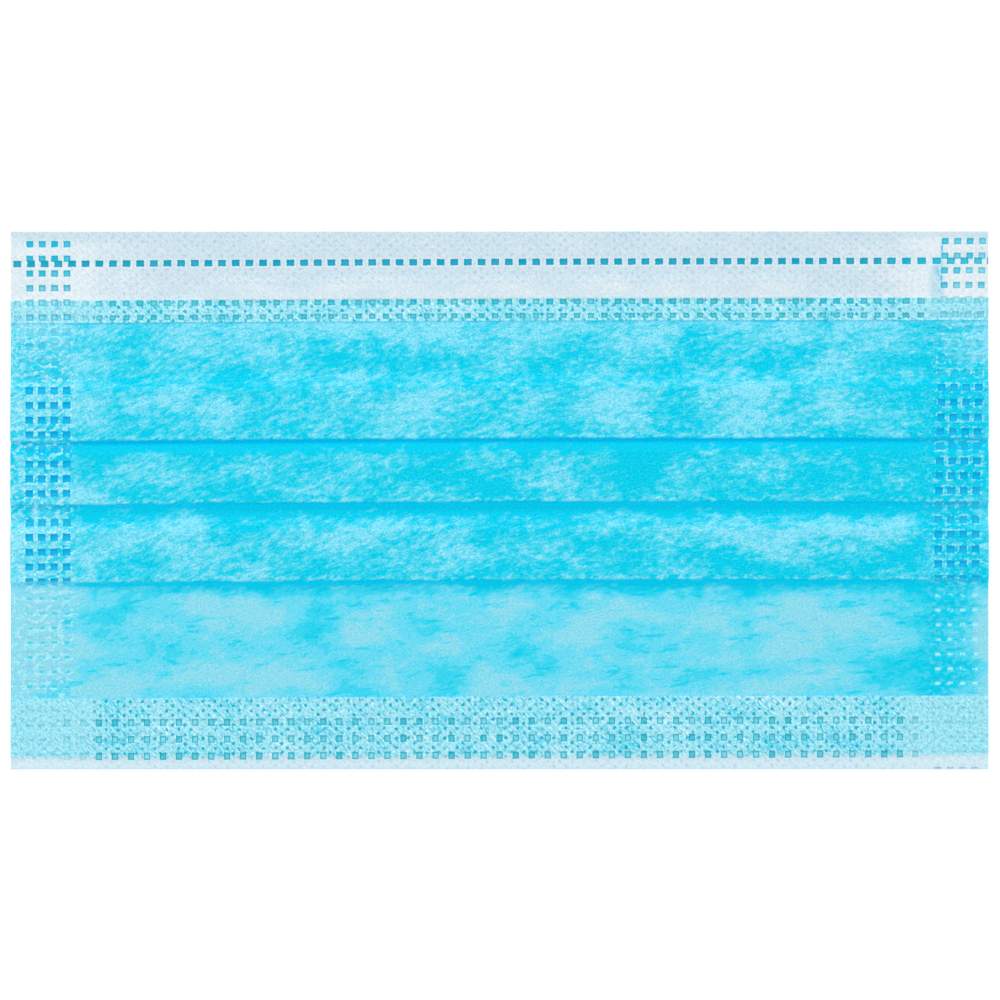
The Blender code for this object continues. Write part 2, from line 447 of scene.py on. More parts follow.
def make_ply(name, columns, section, grooves=()):
    """The sheet object, and its cloth map as (across, down, along) for each vertex."""
    bpy.ops.object.select_all(action="DESELECT")
    point_count = section.shape[2]
    bpy.ops.mesh.primitive_grid_add(
        x_subdivisions=len(columns) - 1, y_subdivisions=point_count - 1, size=2
    )
    sheet = bpy.context.object
    sheet.name = sheet.data.name = name
    grid = np.empty(len(sheet.data.vertices) * 3)
    sheet.data.vertices.foreach_get("co", grid)
    grid = grid.reshape(-1, 3)
    column = np.round((grid[:, 0] + 1) / 2 * (len(columns) - 1)).astype(int)
    point = np.round((1 - grid[:, 1]) / 2 * (point_count - 1)).astype(int)

    across = columns[column]
    down, height = section[:, column, point]
    press = pressed(across, down, grooves)
    row = np.clip(np.searchsorted(ROWS, down), 0, len(ROWS) - 1)
    level = SQUEEZE_LEVEL * stack_top(columns)[column, row]
    height = level + (height - level) * (1 - SQUEEZE * press) + waved(across, down)
    x, lowered = laid(across, down)
    places = np.stack([x, HEIGHT / 2 - lowered, height], axis=1) * MM
    sheet.data.vertices.foreach_set("co", places.ravel())

    wall = sheet.vertex_groups.new(name="wall")
    for amount in np.unique(np.round(press, 2)):
        chosen = np.flatnonzero(np.round(press, 2) == amount)
        wall.add(chosen.tolist(), float(1 - WALL_LOST_IN_WELD * amount), "REPLACE")
    cloth_map = np.stack([across, down, cloth_length(section)[point]], axis=1)
    return sheet, cloth_map


def carry(sheet, name, kind, values):
    """Stores a value for each vertex under a name that the materials read."""
    field = "vector" if kind == "FLOAT_VECTOR" else "value"
    made = sheet.data.attributes.new(name, kind, "POINT")
    made.data.foreach_set(field, np.ascontiguousarray(values, dtype=np.float32).ravel())


def thicken(sheet):
    """Gives the ply its wall, thinner in the welds, and smooth shading but for the cut edges."""
    bpy.ops.object.select_all(action="DESELECT")
    bpy.context.view_layer.objects.active = sheet
    sheet.select_set(True)
    wall = sheet.modifiers.new("Ply thickness", "SOLIDIFY")
    wall.thickness = PLY * MM
    wall.offset = 0
    wall.use_even_offset = True
    wall.vertex_group = "wall"
    bpy.ops.object.modifier_apply(modifier=wall.name)
    bpy.ops.object.shade_smooth_by_angle(angle=math.radians(50))
    print(sheet.name, "has", len(sheet.data.polygons) * 2, "triangles")


# %% [markdown]
# ## The blue outer ply
#
# This is the face of the mask: one sheet that goes down, turns back under itself at each pleat, and
# goes on. Under the white flaps it lies pressed in whole grooves, because nobody sees it there and
# the flap's dents need the room.

# %% Fold the blue ply
blue_ply, blue_map = make_ply(
    "blue_front_ply", PLAIN_COLUMNS, blue_section, ("flap_rows", "chin_rows")
)

# %% [markdown]
# ## The white inner ply
#
# The white sheet is the back of the mask. It wraps round both edges and comes up the front as two
# flaps, where the welds hold it. It is one sheet on the real mask. Here it is made in three pieces
# that meet edge to edge on the back, because each hem needs mesh columns of its own for its welds.

# %% Fold the white ply
back_ply, back_map = make_ply("white_back_ply", PLAIN_COLUMNS, back_section)
top_hem, top_map = make_ply("white_nose_hem", TOP_COLUMNS, top_section)
bottom_hem, bottom_map = make_ply("white_chin_hem", BOTTOM_COLUMNS, bottom_section)

# %% [markdown]
# ## What each point of the cloth knows
#
# Some looks change slowly over the mask: how blue a weld is, where blue shows through the white
# flap, how far a point is below a pleat's edge, and where the spinning laid more or less fibre.
# They are worked out here once for each vertex, from short tables, and the materials read them by
# name.

# %% Slow changes over the cloth
Patch = namedtuple("Patch", "across down wide high amount")
PATCHES = [
    Patch(-65, 22, 8, 3.0, -0.7), Patch(-50, 25, 9, 2.6, -0.7), Patch(-32, 26, 6, 4.5, -0.9),
    Patch(-21, 23, 5, 4.5, -1.1), Patch(10, 25, 7, 3.0, -0.7), Patch(39, 22, 12, 4.0, -1.0),
    Patch(74, 20, 8, 4.5, -1.1), Patch(80, 31, 7, 8.0, -1.0), Patch(-74, 32, 4, 3.5, 0.9),
    Patch(-55, 32, 6, 3.5, 0.8), Patch(-19, 32, 7, 3.5, 0.9), Patch(23, 32, 7, 3.5, 0.9),
    Patch(41, 30, 8, 5.0, 0.9), Patch(61, 32, 7, 3.0, 0.6), Patch(68, 26, 5, 3.5, 0.6),
    Patch(-74, 44, 6, 4.0, 0.7), Patch(-30, 43, 12, 2.5, 0.3), Patch(12, 42.5, 7, 3.0, 0.8),
    Patch(45, 44, 14, 2.6, 0.5), Patch(75, 43, 5, 3.0, 0.6), Patch(25, 43, 5, 4.0, -0.6),
    Patch(0, 44, 7, 4.0, -0.5), Patch(66, 44, 5, 4.5, -0.8), Patch(-62, 54, 12, 5.0, 0.8),
    Patch(-22, 57, 10, 4.5, 0.3), Patch(45, 54, 13, 3.5, 0.6), Patch(63, 55, 8, 4.0, 0.9),
    Patch(76, 54, 5, 4.0, 0.5), Patch(10, 61, 16, 2.6, -0.8), Patch(55, 61, 22, 2.4, -0.9),
    Patch(-68, 70, 6, 5.0, -0.8), Patch(-34, 70, 6, 7.0, -0.6), Patch(-26, 80, 8, 3.6, -0.7),
    Patch(-12, 79, 6, 3.6, -1.0), Patch(21, 78, 7, 5.0, -0.5), Patch(40, 79, 6, 5.5, -0.6),
    Patch(75, 77, 9, 5.0, -1.3), Patch(-45, 72, 10, 8.0, 0.5), Patch(54, 74, 11, 6.0, 0.6),
    Patch(-84, 74, 8, 14.0, 1.8), Patch(-84, 50, 6, 16.0, 0.7), Patch(20, 70, 20, 4.0, 0.3),
    Patch(81, 44, 6, 20.0, -2.0), Patch(80, 74, 6, 11.0, -2.0), Patch(87.5, 76, 2.2, 12.0, 2.0),
    Patch(-87.5, 74, 2.0, 14.0, 0.8), Patch(86, 24, 4, 5.0, 1.0),
]
SHADE_DOWN = [16, 20, 24, 34, 38, 49, 50, 62, 64, 83]
SHADE = [0.8, 0.5, -0.1, -0.1, -0.7, -0.7, -0.3, -0.3, 0.9, 0.9]


def patched(across, down):
    """More fibre, and so paler, above 0; less below 0."""
    shade = np.interp(down, SHADE_DOWN, SHADE)
    for patch in PATCHES:
        sideways, upright = (across - patch.across) / patch.wide, (down - patch.down) / patch.high
        shade = shade + patch.amount * np.exp(-(sideways ** 2 + upright ** 2))
    return shade


def below_fold(down):
    """Distance below the last pleat edge above a point."""
    below = np.full_like(down, 20.0)
    for edge in PLEAT_EDGES:
        below = np.where(down >= edge, down - edge, below)
    return below


def above_fold(down):
    """Distance above the next pleat edge below a point."""
    above = np.full_like(down, 20.0)
    for edge in reversed(PLEAT_EDGES):
        above = np.where(down < edge, edge - down, above)
    return above


# How strongly the side welds took their colour, at some distances down.
Ink = namedtuple("Ink", "down left right")
SIDE_INK = [
    Ink(0, 1, 1), Ink(8.6, 1, 1), Ink(9.3, 0.7, 0.8), Ink(12, 0.4, 0.3), Ink(16, 0.45, 0.45),
    Ink(22, 0.5, 0.45), Ink(26.5, 0.35, 0.35), Ink(27, 1, 1), Ink(36, 1, 1), Ink(37.5, 0.3, 0.5),
    Ink(39.5, 1, 1), Ink(47, 1, 1), Ink(49.5, 0.3, 0.5), Ink(52, 1, 1), Ink(62, 1, 1),
    Ink(63, 0.2, 0.2), Ink(84, 0.05, 0.05), Ink(95, 0.05, 0.05), Ink(95.4, 0.05, 0.4),
    Ink(97, 0.05, 0.4),
]


def side_ink(across, down):
    downs, left, right = (list(column) for column in zip(*SIDE_INK))
    return np.where(across < 0, np.interp(down, downs, left), np.interp(down, downs, right))


for sheet, cloth_map in (
    (blue_ply, blue_map), (back_ply, back_map), (top_hem, top_map), (bottom_hem, bottom_map)
):
    across, down, along = cloth_map.T
    carry(sheet, "cloth", "FLOAT_VECTOR", cloth_map)
    carry(sheet, "side_ink", "FLOAT", side_ink(across, down))
    carry(sheet, "patches", "FLOAT", patched(across, down))
    carry(sheet, "below_fold", "FLOAT", below_fold(down))
    carry(sheet, "above_fold", "FLOAT", above_fold(down))

over_blue = np.interp(top_map[:, 1], [OUTER_TOP - 0.25, OUTER_TOP + 0.05], [0, 1])
carry(top_hem, "over_blue", "FLOAT", np.where(top_map[:, 2] < TOP_FLAP, over_blue, 0.0))
flap_start = bottom_map[:, 2].max() - BOTTOM_FLAP
over_blue = np.interp(HEIGHT - bottom_map[:, 1], [OUTER_BOTTOM - 0.1, OUTER_BOTTOM + 0.1], [0, 1])
carry(bottom_hem, "over_blue", "FLOAT", np.where(bottom_map[:, 2] > flap_start, over_blue, 0.0))
carry(back_ply, "over_blue", "FLOAT", np.zeros(len(back_map)))
carry(top_hem, "front", "FLOAT", (top_map[:, 2] < TOP_FLAP + 0.5).astype(float))
carry(bottom_hem, "front", "FLOAT", (bottom_map[:, 2] > flap_start - 0.5).astype(float))
carry(back_ply, "front", "FLOAT", np.zeros(len(back_map)))

for sheet in (blue_ply, back_ply, top_hem, bottom_hem):
    thicken(sheet)

# %% [markdown]
# ## Writing materials as sums
#
# A material is a net of nodes, and a net of a hundred nodes is hard to read. So a small class wraps
# each output and lets it be added and multiplied like a number: every sign in an expression becomes
# one Math node. A second class holds the material and has one method for all other nodes.

# %% A small language for materials
class Field:
    """A value that changes over a surface."""

    def __init__(self, finish, socket):
        self.finish, self.socket = finish, socket

    def __add__(self, other):
        return self.finish.math("ADD", self, other)

    def __sub__(self, other):
        return self.finish.math("SUBTRACT", self, other)

    def __rsub__(self, other):
        return self.finish.math("SUBTRACT", other, self)

    def __mul__(self, other):
        return self.finish.math("MULTIPLY", self, other)

    def __truediv__(self, other):
        return self.finish.math("DIVIDE", self, other)

    __radd__, __rmul__ = __add__, __mul__


class Finish:
    """A material in the making."""

    def __init__(self, name):
        self.material = bpy.data.materials.new(name)
        self.material.use_nodes = True
        self.tree = self.material.node_tree
        self.shader = self.tree.nodes["Principled BSDF"]

    def node(self, kind, settings, sockets, output=0):
        """Adds a node: its settings first, then the values or links of its sockets."""
        made = self.tree.nodes.new("ShaderNode" + kind)
        for name, value in settings.items():
            setattr(made, name, value)
        for name, value in sockets.items():
            self.feed(made.inputs[name], value)
        return Field(self, made.outputs[output])

    def feed(self, socket, value):
        if isinstance(value, Field):
            self.tree.links.new(value.socket, socket)
        else:
            socket.default_value = value

    def math(self, operation, *values):
        return self.node("Math", {"operation": operation}, dict(enumerate(values)))

    def least(self, one, other):
        return self.math("MINIMUM", one, other)

    def most(self, one, other):
        return self.math("MAXIMUM", one, other)

    def step(self, value, start, end):
        """Goes smoothly from 0 to 1 as the value goes from start to end."""
        sockets = {"Value": value, "From Min": start, "From Max": end}
        return self.node("MapRange", {"interpolation_type": "SMOOTHSTEP"}, sockets)

    def carried(self, name, output="Fac"):
        return self.node("Attribute", {"attribute_name": name}, {}, output)

    def blend(self, share, first, second, kind="MIX"):
        """One colour to another."""
        settings = {"data_type": "RGBA", "blend_type": kind}
        return self.node("Mix", settings, {0: share, 6: first, 7: second}, 2)

    def grained(self, colour, grain, strength, red):
        """Darker and lighter where a noise is under and over one half, and most so in its red."""
        change = (grain - 0.5) * strength
        channels = {0: 1 + change * red, 1: 1 + change, 2: 1 + change * 0.9}
        light = self.node("CombineXYZ", {}, channels)
        return self.blend(1.0, colour, light, "MULTIPLY")

    def noise(self, place, scale, detail=2.0, roughness=0.5):
        sockets = {"Vector": place, "Scale": scale, "Detail": detail, "Roughness": roughness}
        return self.node("TexNoise", {}, sockets)

    def turned(self, place, degrees, stretch):
        """A pattern's place, turned and then stretched along its own x and y."""
        turn = (0, 0, math.radians(degrees))
        turned = self.node("Mapping", {"vector_type": "POINT"}, {"Vector": place, "Rotation": turn})
        return self.node("VectorMath", {"operation": "MULTIPLY"}, {0: turned, 1: stretch})

    def put(self, **values):
        """Sets or links the shader's own sockets, with spaces in their names as underscores."""
        for name, value in values.items():
            self.feed(self.shader.inputs[name.replace("_", " ")], value)


def paint(red, green, blue):
    """A colour from its 0 to 255 screen values, as Blender's linear light."""
    def linear(value):
        share = value / 255
        return share / 12.92 if share <= 0.04045 else ((share + 0.055) / 1.055) ** 2.4
    return (linear(red), linear(green), linear(blue), 1.0)


# %% [markdown]
# ## Welds in a material
#
# For each group of welds the material finds the nearest weld's middle, as the mesh did, and from it
# the distance to that weld's square outline. Fibres fray the outline, so a little noise is added to
# the distance, and `trim` moves it in or out. A weld then has a fill, where the melted film shows
# the blue, a broken rim, where the film is thickest, a dash along its lower side, where the stud
# dragged, and a halo of stretched cloth around it. A `Look` says how strong each one is. A random
# number for each weld, times `vary`, says how thin its film is, and a thin film is paler.

# %% Draw the welds
Look = namedtuple("Look", "colour fill vary rim dash halo trim")
THIN_FILM = paint(150, 231, 245)
FRAY = 0.22


def draw_welds(finish, cloth_colour, halo_colour, place, fray, looks):
    """Draws groups of welds over a colour, and returns it with the inside of all the welds."""
    colour, inside = cloth_colour, None
    for name, look in looks.items():
        group = WELDS[name]
        cells, offsets, sides = [], [], []
        for value, first, step, count, size in (
            (place[0], group.across, group.across_step, group.columns, group.wide),
            (place[1], group.down, group.down_step, group.rows, group.high),
        ):
            cell = finish.math("ROUND", (value - first) * (1 / step))
            cells.append(finish.least(finish.most(cell, 0.0), count - 1.0))
            offsets.append(value - first - cells[-1] * step)
            sides.append(finish.math("ABSOLUTE", offsets[-1]) - size / 2)
        away = finish.most(*sides) + fray + look.trim
        cell_place = finish.node("CombineXYZ", {}, {0: cells[0], 1: cells[1], 2: group.down})
        random = finish.node("TexWhiteNoise", {"noise_dimensions": "3D"}, {"Vector": cell_place})
        weld = 1 - finish.step(away, -0.06, 0.06)
        halo = (1 - finish.step(away, 0.12, 0.40)) * (1 - weld)
        if inside is not None:
            halo = halo * (1 - inside)
        film = finish.blend(random * look.vary, look.colour, THIN_FILM)
        rim = weld * look.rim * finish.step(away, -0.34, -0.14) * finish.step(fray, -0.06, 0.01)
        dash = finish.step(offsets[1] + fray, 0.10, 0.26)
        dash = weld * look.dash * (dash * (1 - finish.step(sides[0], -0.30, -0.14)))
        colour = finish.blend(halo * look.halo, colour, halo_colour)
        colour = finish.blend(weld * look.fill, colour, film)
        colour = finish.blend(finish.most(rim, dash), colour, look.colour)
        inside = weld if inside is None else finish.most(inside, weld)
    return colour, inside


def cloth_fields(finish):
    """Across, down and along from the ply's own map, and the flat cloth as a place for patterns."""
    split = finish.tree.nodes.new("ShaderNodeSeparateXYZ")
    finish.feed(split.inputs[0], finish.carried("cloth", "Vector"))
    across, down, along = (Field(finish, split.outputs[axis]) for axis in range(3))
    plane = finish.node("CombineXYZ", {}, {0: across, 1: along, 2: 0.0})
    return across, down, along, plane


# %% [markdown]
# ## The blue cloth
#
# Spun-bond cloth is a mat of long fibres, laid down mostly in one slanting direction. Where the mat
# is thin the blue is deep, and where fibres bunch it is pale. Drawing the fibres one by one would
# take millions of faces, so noises that are stretched along the fibres draw them here, and `bent`
# lets their direction swing a little over the mask. A cloudy noise and the patches say where the
# mat is thin, `fibres` makes the bunches and `tufts` the strands in them. Their sum, `amount`,
# passes three steps, from deep to pale. Below the last pleat the cloth is smoother, so `calm` turns
# the fibres down there, and `gaps` comb a few thin places into it. A fine grain then makes every
# colour a little darker and lighter.
#
# Just above each pleat's edge a narrow band is painted paler, as a painted highlight where the
# fold's rounded top catches the light, and the very edge is `rolled` away into painted shade. Below
# the edge the cloth was creased smooth, with less grain, and it lies in shade, so it is painted
# plain deep blue there as painted shade, with a darker painted shadow line right under the edge.
# Light also comes through such thin cloth from below, so it is given a painted glow and shines a
# little by itself.

# %% Mix the blue cloth
GLOW = 0.20
DEEP = paint(4, 210, 240)
# Shaded blues for the painted shadow under each pleat's edge, lighter under the two lower pleats.
SHADED = paint(0, 211, 247)
LOW_SHADED = paint(0, 225, 255)
MIDDLE = paint(62, 217, 243)
PALE = paint(104, 222, 246)
FIBRE = paint(135, 230, 252)
LOW_FIBRE = paint(142, 224, 242)
FLECK = paint(182, 241, 252)
WELD_BLUE = paint(0, 194, 235)
LOW_WELD = paint(40, 206, 230)

blue = Finish("blue_nonwoven_fibres")
across, down, along, plane = cloth_fields(blue)
drift = blue.noise(plane, 0.09, 1.0)
swung = along + drift * 1.5 - across * across * 0.0008
bent = blue.node("CombineXYZ", {}, {0: across, 1: swung, 2: 0.0})
cloud = blue.noise(blue.turned(plane, 6, (0.55, 1.0, 1.0)), 0.15, 2.0, 0.55)
fibres = blue.noise(blue.turned(bent, 14, (0.50, 1.0, 1.0)), 0.98, 1.0, 0.70)
tufts = blue.step(blue.noise(blue.turned(bent, 20, (0.50, 1.0, 1.0)), 2.1, 1.0, 0.5), 0.50, 0.62)
grain = blue.noise(blue.turned(bent, 20, (0.70, 1.0, 1.0)), 3.2, 1.0, 0.8)
fleck_noise = blue.noise(blue.turned(plane, 8, (0.7, 1.0, 1.0)), 1.15, 1.0, 0.6)
patches = blue.carried("patches")
below = blue.carried("below_fold")
above = blue.carried("above_fold")
ink = blue.carried("side_ink")
side = blue.step(blue.math("ABSOLUTE", across), 74.0, 78.5)
# Painted shade below each pleat's edge: the creased band there is painted deep blue, with less
# grain.
creased_and_shaded = 1 - blue.step(below + blue.noise(plane, 0.30, 2.0) * 3.0, 2.6, 5.0)
# Painted shadow: a darker line right under each pleat's edge, fainter at the welded sides.
line = (1 - blue.step(below, 0.35, 0.95)) * (1 - side * 0.7)
low = blue.step(down, 62.0, 66.0)
calm = 1 - 0.62 * low
gaps = blue.noise(blue.turned(plane, 5, (0.22, 1.0, 1.0)), 0.75, 2.0, 0.7)
gaps = blue.step(gaps, 0.56, 0.68) * low

# Painted highlight just above each pleat's edge, and painted shade right at the edge.
painted_edge_highlight = blue.step(above, 0.25, 0.50) * (1 - blue.step(above, 0.65, 1.40))
rolled = 1 - blue.step(above, 0.15, 0.35)
amount = 0.03 + (cloud - 0.5) * 2.6 + patches * 0.38 + painted_edge_highlight * 0.16 - rolled * 0.5
strands = (fibres - 0.5) * 2.1 + (tufts - 0.3) * 0.23
amount = amount + strands * (calm + painted_edge_highlight * 0.5) - gaps * 0.45
amount = amount - creased_and_shaded * 0.65 * (1 - side * 0.5)
colour = blue.blend(blue.step(amount, -0.52, -0.10), DEEP, MIDDLE)
colour = blue.blend(blue.step(amount, -0.08, 0.13), colour, PALE)
fibre = blue.blend(low, FIBRE, LOW_FIBRE)
colour = blue.blend(blue.step(amount, 0.22, 0.48 + 0.20 * low), colour, fibre)
shade = blue.blend(blue.step(down, 42.0, 46.0), SHADED, LOW_SHADED)
colour = blue.blend(line * 0.9, colour, shade)

at_right = blue.step(across, 0.0, 1.0)
flecks = blue.step(fleck_noise * 0.85 + grain * 0.15, 0.49, 0.60)
colour = blue.blend(flecks * side * (0.55 - 0.40 * at_right), colour, FLECK)
fray = (grain - 0.5) * FRAY
dragged = low * at_right
side_colour = blue.blend(low * (1 - at_right), WELD_BLUE, LOW_WELD)
side_look = Look(
    colour=blue.blend(dragged, side_colour, FLECK),
    fill=blue.step(ink, 0.3, 0.8),
    vary=0.05,
    rim=0.0,
    dash=(0.9 - ink * 0.9) * blue.step(fleck_noise, 0.36, 0.48),
    halo=flecks * (0.8 - dragged * 0.8 - at_right * 0.2),
    trim=-0.05,
)
colour, inside = draw_welds(
    blue, colour, FLECK, (across, down), fray, {"left_side": side_look, "right_side": side_look}
)
grain_strength = 0.30 + 0.65 * calm - 0.4 * creased_and_shaded * (1 - inside) - 0.6 * inside
colour = blue.grained(colour, grain, grain_strength, 2.0)
relief = (fibres * 0.6 + tufts * 0.25 + grain * 0.15) * calm
bump = blue.node("Bump", {}, {"Strength": 0.80, "Distance": 0.00025, "Height": relief})
blue.put(Base_Color=colour, Roughness=0.88 - 0.4 * inside, Normal=bump, Specular_IOR_Level=0.12)
# Painted glow: the blue's own colour shines a little by itself, for light coming through it.
blue.put(Emission_Color=colour, Emission_Strength=GLOW)
print("blue cloth:", len(blue.tree.nodes), "nodes")

# %% [markdown]
# ## The white cloth
#
# The white ply is the same kind of cloth without the dye, so it is thin enough to see through.
# Where it lies on blue it turns a milky blue, and the welds, which melt it clear, show the blue
# below them. It also carries the fine diamond grid of bonding points that holds spun-bond together,
# and here its fibres slant the other way. `bare` is its colour on white, `milky` its colour on
# blue, and the same noises serve both. Over the wire it is pulled smooth, and that band is also
# painted lighter, as a painted highlight where the wire's ridge catches the light. Towards its
# `ends` the heat of the side welds has smoothed it.

# %% Mix the white cloth
WHITE = paint(207, 228, 239)
WHITE_BRIGHT = paint(228, 240, 246)
WHITE_GREY = paint(182, 209, 224)
MILKY = paint(95, 216, 240)
MILKY_PALE = paint(162, 232, 247)
MILKY_BRIGHT = paint(198, 240, 252)
TEAL = paint(0, 166, 198)
FLAP_TEAL = paint(0, 186, 206)
SIDE_TEAL = paint(0, 186, 216)
BACK_WELD = paint(176, 214, 228)
HEM_PALE = paint(211, 239, 250)
BOND_GREY = paint(150, 186, 204)
BOND_BLUE = paint(0, 186, 214)
STAIN_BLUE = paint(70, 196, 232)
BOND_ACROSS, BOND_DOWN = 2.165, 0.84

white = Finish("white_nonwoven_fibres")
across, down, along, plane = cloth_fields(white)
cloud = white.noise(white.turned(plane, 0, (0.5, 1.0, 1.0)), 0.22, 2.0, 0.5)
fibres = white.noise(white.turned(plane, 50, (0.28, 1.0, 1.0)), 1.7, 1.0, 0.8)
grain = white.noise(white.turned(plane, 45, (0.55, 1.0, 1.0)), 3.0, 1.0, 0.8)
from_middle = white.math("ABSOLUTE", across)
over = white.carried("over_blue")
front = white.carried("front")
ink = white.carried("side_ink")

bond_row = white.math("ROUND", down * (1 / BOND_DOWN))
stagger = white.math("FRACT", bond_row * 0.5) * BOND_ACROSS
bond_cell = white.math("FRACT", (across + stagger) * (1 / BOND_ACROSS))
bond_across = bond_cell * BOND_ACROSS - BOND_ACROSS / 2
bond_down = down - bond_row * BOND_DOWN
bond_away = white.math("SQRT", bond_across * bond_across + bond_down * bond_down)
bond_here = white.step(white.noise(plane, 0.45, 2.0, 0.6), 0.36, 0.52)
bond = (1 - white.step(bond_away + (grain - 0.5) * 0.3, 0.22, 0.40)) * bond_here

ends = white.step(from_middle, 70.0, 75.0)
# Over the wire the cloth is pulled smooth, with fewer fibres and bonds showing, and painted lighter
# as a painted highlight on the wire's ridge.
smooth_and_highlight = white.step(down, 8.8, 9.8) * (1 - white.step(down, 12.0, 12.3)) * front
smooth_and_highlight = smooth_and_highlight * (1 - white.step(from_middle, 52.0, 60.0))
tone = (cloud - 0.5) * 0.9 + (fibres - 0.5) * (0.8 - 0.4 * smooth_and_highlight) + smooth_and_highlight * 0.24
tone = tone + 0.50 * white.step(from_middle, 56.0, 80.0) * white.step(down, 0.5, 3.0)
tone = tone + 0.08 - 0.14 * (1 - white.step(down, 0.3, 1.6)) * front
bare = white.blend(white.step(tone, -0.60, 0.05), WHITE_GREY, WHITE)
bare = white.blend(white.step(tone, 0.05, 0.65), bare, WHITE_BRIGHT)
bare = white.blend(white.step(down, 93.5, 94.2) * front * 0.85, bare, HEM_PALE)
bare = white.blend(bond * (0.28 - 0.28 * smooth_and_highlight) * (1 - 0.6 * ends), bare, BOND_GREY)
milky_tone = ((fibres - 0.5) * 1.35 + (grain - 0.5) * 0.5) * (1 - 0.70 * ends)
milky_tone = milky_tone + (cloud - 0.5) * (1.2 - 0.8 * ends) + 0.06 + 0.02 * ends
milky = white.blend(white.step(milky_tone, -0.32, 0.10), MILKY, MILKY_PALE)
milky = white.blend(white.step(milky_tone, 0.22, 0.45), milky, MILKY_BRIGHT)
milky = white.blend(bond * (0.95 - 0.6 * ends), milky, BOND_BLUE)
cloth_colour = white.blend(over, bare, milky)

# Blue that bled out of the welds beside the right end of the nose hem.
bleed = white.step(across, 75.6, 77.6) * (1 - white.step(across, 78.3, 79.2))
bleed = bleed * white.step(down, 4.5, 6.5)
thread = 1 - white.step(white.math("ABSOLUTE", across - 78.25), 0.08, 0.30)
thread = thread * white.step(down, 1.6, 2.2) * (1 - white.step(down, 9.0, 11.5))
soaked = white.step(fibres + (grain - 0.5) * 0.8, 0.20, 0.80)
stain = white.most(bleed * soaked * 0.75, thread * 0.95)
stain = stain * (1 - over) * front * (1 - white.step(down, 20.0, 21.0))
cloth_colour = white.blend(stain, cloth_colour, STAIN_BLUE)

fray = (grain - 0.5) * FRAY
weld_colour = white.blend(front, BACK_WELD, TEAL)
flap_colour = white.blend(front, BACK_WELD, FLAP_TEAL)
side_colour = white.blend(front, BACK_WELD, SIDE_TEAL)
nose_colour = white.blend(white.step(across, 66.0, 76.0), weld_colour, side_colour)
shown = 0.55 + 0.45 * front
at_right = 1 - white.step(across, 74.0, 84.0)
row_ends = white.step(across, 74.5, 77.0) + (1 - white.step(across, -73.5, -71.5))
whole = 1 - 0.70 * row_ends
chin_whole = whole * (1 - 0.60 * white.step(across, 72.6, 73.6))
strong = white.step(ink, 0.25, 0.8) * shown
edged = white.step(ink, 0.10, 0.5) * shown
right_fill, right_rim = strong * (0.90 + 0.10 * at_right), edged * (0.70 + 0.30 * at_right)
flap_vary = 0.70 - 0.30 * white.step(across, 0.0, 30.0)
flap_trim = 0.05 + 0.06 * white.step(down, 14.0, 14.4)
looks = {
    "left_side": Look(side_colour, strong, 0.35, edged, 0.0, 0.6 * strong, 0.08),
    "right_side": Look(side_colour, right_fill, 0.75, right_rim, 0.0, 0.6 * strong, 0.08),
    "nose_row": Look(nose_colour, shown * (0.90 + 0.10 * at_right), 0.10, shown, 0.0, 0.7, 0.0),
    "flap_rows": Look(
        flap_colour, whole * shown * 0.85, flap_vary, whole * 0.95, 0.0, 0.15 * whole, flap_trim
    ),
    "chin_rows": Look(
        flap_colour, chin_whole * shown * 0.75, 1.0, chin_whole * 0.95, 0.0, 0.15 * whole, -0.03
    ),
}
colour, inside = draw_welds(white, cloth_colour, WHITE_BRIGHT, (across, down), fray, looks)
colour = white.grained(colour, grain, 0.50 + 0.75 * over * (1 - 0.4 * inside), 1.0)

relief = fibres * 0.5 + grain * 0.3 - bond * 0.4
bump = white.node("Bump", {}, {"Strength": 0.30, "Distance": 0.00012, "Height": relief})
white.put(Base_Color=colour, Roughness=0.88 - 0.4 * inside, Normal=bump, Specular_IOR_Level=0.15)
# Painted glow, as on the blue: the white cloth's own colour shines a little by itself.
white.put(Emission_Color=colour, Emission_Strength=GLOW)
print("white cloth:", len(white.tree.nodes), "nodes")

# %% [markdown]
# ## The nose wire
#
# The wire is a flat ribbon of soft plastic with two steel threads in it, which stays as it is
# bent. It lies hidden in the nose hem and shows only as a smooth band in the cloth over it. It
# starts as a block that is cut into strips. The two lines over the threads are raised, the block is
# stretched to the length and width of the CAD solid, and a bevel rounds its edges. It stays flat
# where the cloth waves, so the cloth cuts a little into it, out of sight inside the hem.

# %% Model the nose wire
bpy.ops.object.select_all(action="DESELECT")
bpy.ops.mesh.primitive_cube_add(size=MM)
wire = bpy.context.object
wire.name = wire.data.name = "nose_wire_ribbon"
bpy.ops.object.mode_set(mode="EDIT")
bpy.ops.mesh.subdivide(number_cuts=5)
bpy.ops.mesh.select_all(action="DESELECT")
bpy.ops.object.mode_set(mode="OBJECT")
for vertex in wire.data.vertices:
    over_thread = abs(abs(vertex.co.y) - MM / 6) < 0.01 * MM
    vertex.select = over_thread and abs(vertex.co.z) > 0.49 * MM
bpy.ops.object.mode_set(mode="EDIT")
bpy.ops.transform.resize(value=(1, 1, 1.5))
bpy.ops.mesh.select_all(action="SELECT")
bpy.ops.transform.resize(value=(WIRE_ENDS[1] - WIRE_ENDS[0], WIRE_WIDTH, WIRE_THICKNESS / 1.5))
bpy.ops.object.mode_set(mode="OBJECT")
wire.location = (
    (WIRE_ENDS[0] + WIRE_ENDS[1]) / 2 * MM,
    (HEIGHT / 2 - WIRE_DOWN) * MM,
    (WIRE_TOP - WIRE_THICKNESS / 2) * MM,
)
bpy.ops.object.transform_apply(location=True, rotation=True, scale=True)
